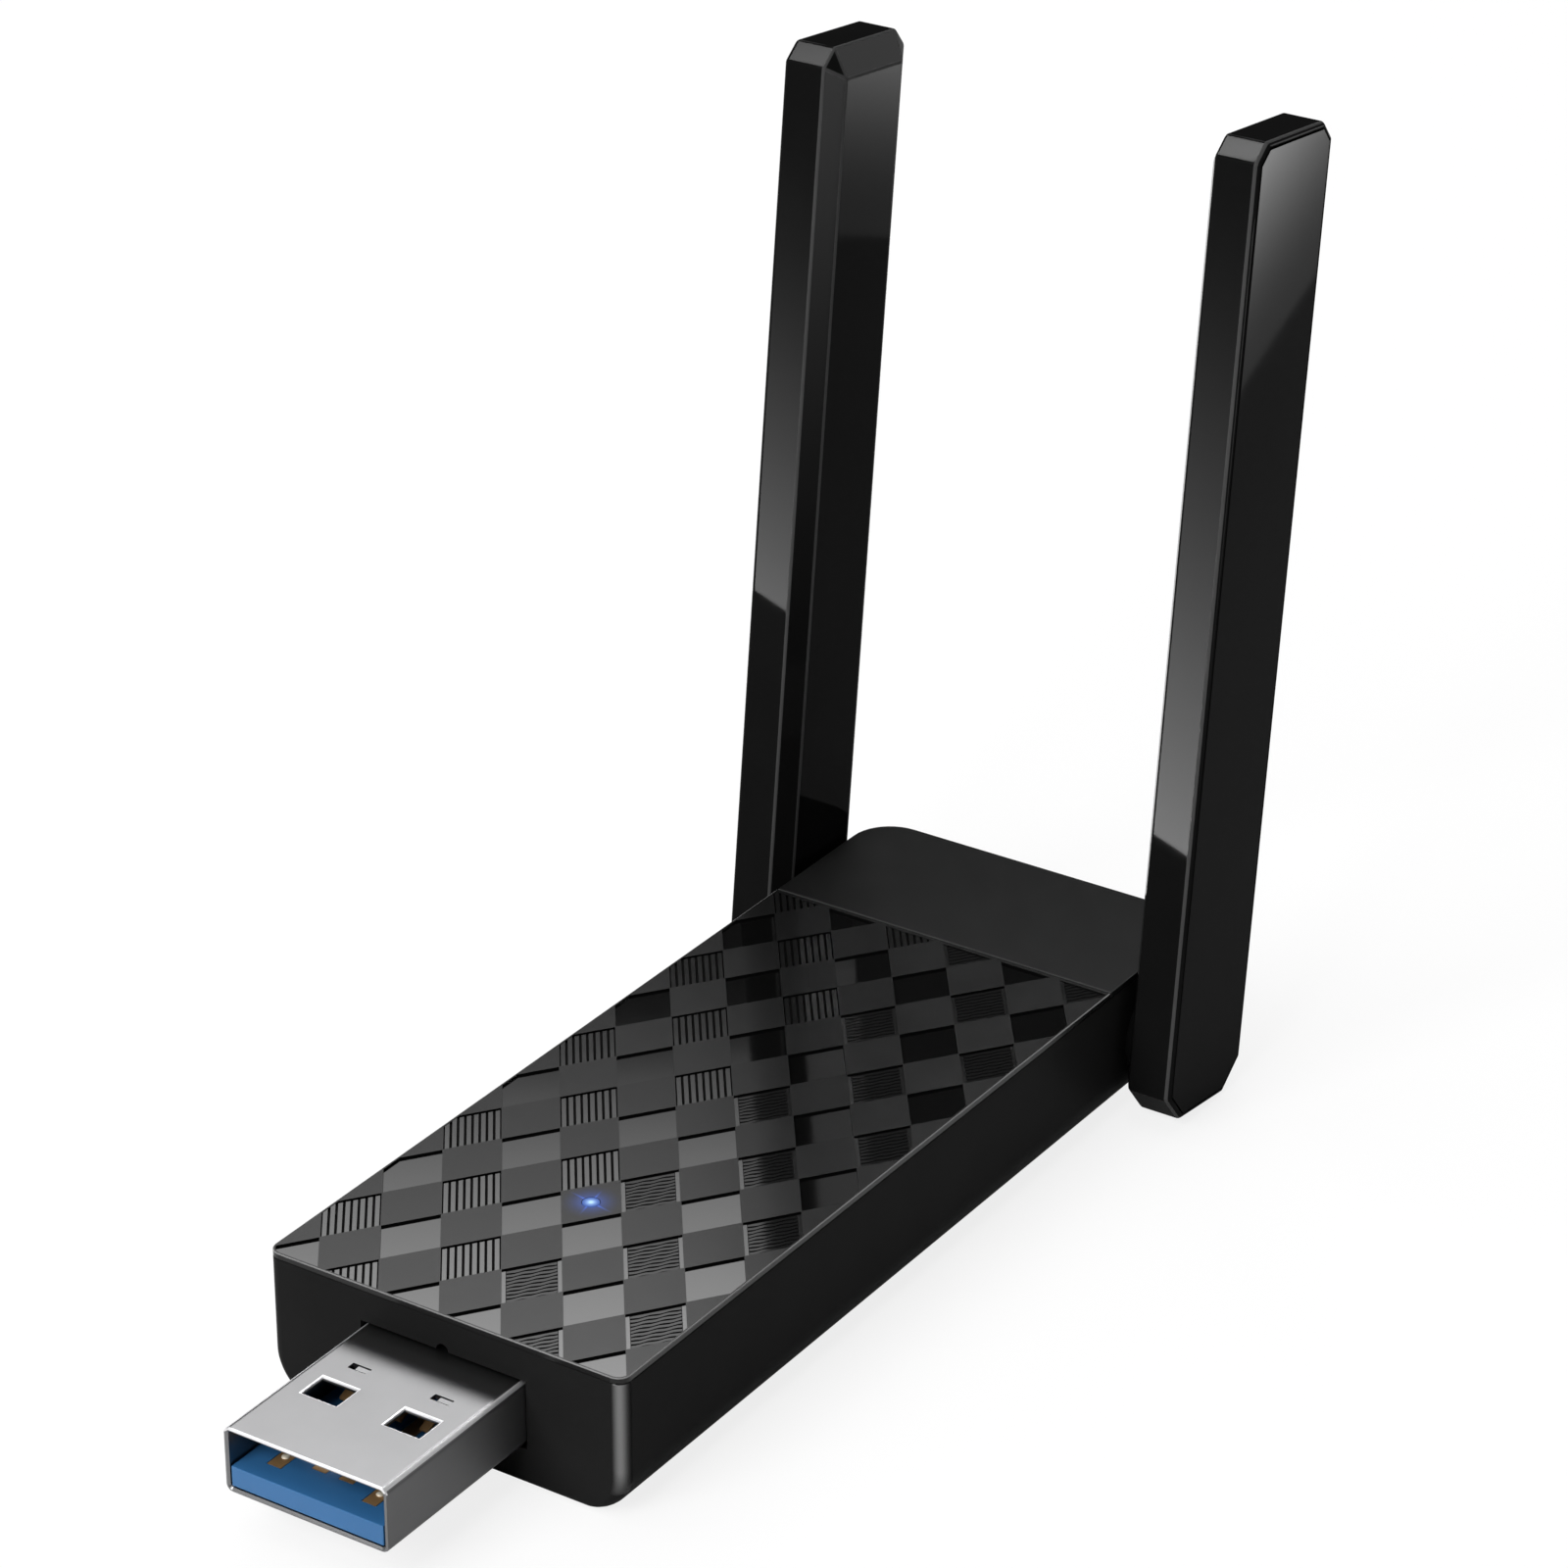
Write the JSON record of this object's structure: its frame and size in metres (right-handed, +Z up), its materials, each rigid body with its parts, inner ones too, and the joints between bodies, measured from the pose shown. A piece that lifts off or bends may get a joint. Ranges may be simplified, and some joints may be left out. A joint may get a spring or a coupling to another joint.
{
  "type": "usb wireless adapter",
  "caption": "Slim wireless network adapter with a USB plug at one end, a diamond-checked top plate, an indicator light and folding side antennas on friction hinges",
  "frame": {"origin": "middle of the case's flat underside, where it rests on a table", "axes": "+Z up, -Y the way the plug points, +X across the case from the left antenna to the right one"},
  "size_m": [0.0354, 0.0866, 0.0675],
  "materials": {
    "case_plastic": "gloss black",
    "plate_plastic": "satin and polished dark grey check",
    "cover_plastic": "satin black",
    "plug_steel": "bright plated steel",
    "plug_plastic": "blue moulded plastic",
    "contact_gold": "gold plated",
    "board": "green solder mask",
    "chip": "moulded black",
    "tin": "tin plate",
    "pad": "soft grey pad",
    "clear_plastic": "clear",
    "lead": "black coaxial lead",
    "hinge_steel": "plain steel",
    "antenna_plastic": "piano black"
  },
  "bodies": {
    "case": {"lower_case": "case_plastic", "pattern_plate": "plate_plastic", "rear_cover": "cover_plastic", "usb_shell": "plug_steel", "usb_insulator": "plug_plastic", "usb_contact_power": "contact_gold", "usb_contact_data_minus": "contact_gold", "usb_contact_data_plus": "contact_gold", "usb_contact_ground": "contact_gold", "usb_fast_contact_1": "contact_gold", "usb_fast_contact_2": "contact_gold", "usb_fast_contact_3": "contact_gold", "usb_fast_contact_4": "contact_gold", "usb_fast_contact_5": "contact_gold", "main_board": "board", "wifi_chip": "chip", "regulator_chip": "chip", "power_inductor": "chip", "crystal": "tin", "shield_frame": "tin", "shield_lid": "tin", "thermal_pad": "pad", "led_chip": "clear_plastic", "light_guide": "clear_plastic", "rf_connector_left": "contact_gold", "rf_connector_right": "contact_gold", "coax_lead_left": "lead", "coax_lead_right": "lead", "friction_washer_left": "hinge_steel", "friction_washer_right": "hinge_steel"},
    "antenna_left": {"antenna_shell_left": "antenna_plastic", "antenna_cover_left": "antenna_plastic", "antenna_element_left": "board", "antenna_lead_left": "lead", "hinge_pin_left": "hinge_steel", "hinge_clip_left": "hinge_steel"},
    "antenna_right": {"antenna_shell_right": "antenna_plastic", "antenna_cover_right": "antenna_plastic", "antenna_element_right": "board", "antenna_lead_right": "lead", "hinge_pin_right": "hinge_steel", "hinge_clip_right": "hinge_steel"}
  },
  "joints": [
    {"name": "antenna_left_fold", "type": "hinge", "parent": "case", "child": "antenna_left", "pos_m": [0, 0.02715, 0.005], "axis": [1, 0, 0], "range_deg": [-83.6, 96.4]},
    {"name": "antenna_right_fold", "type": "hinge", "parent": "case", "child": "antenna_right", "pos_m": [0, 0.02715, 0.005], "axis": [1, 0, 0], "range_deg": [-83.6, 96.4]}
  ]
}
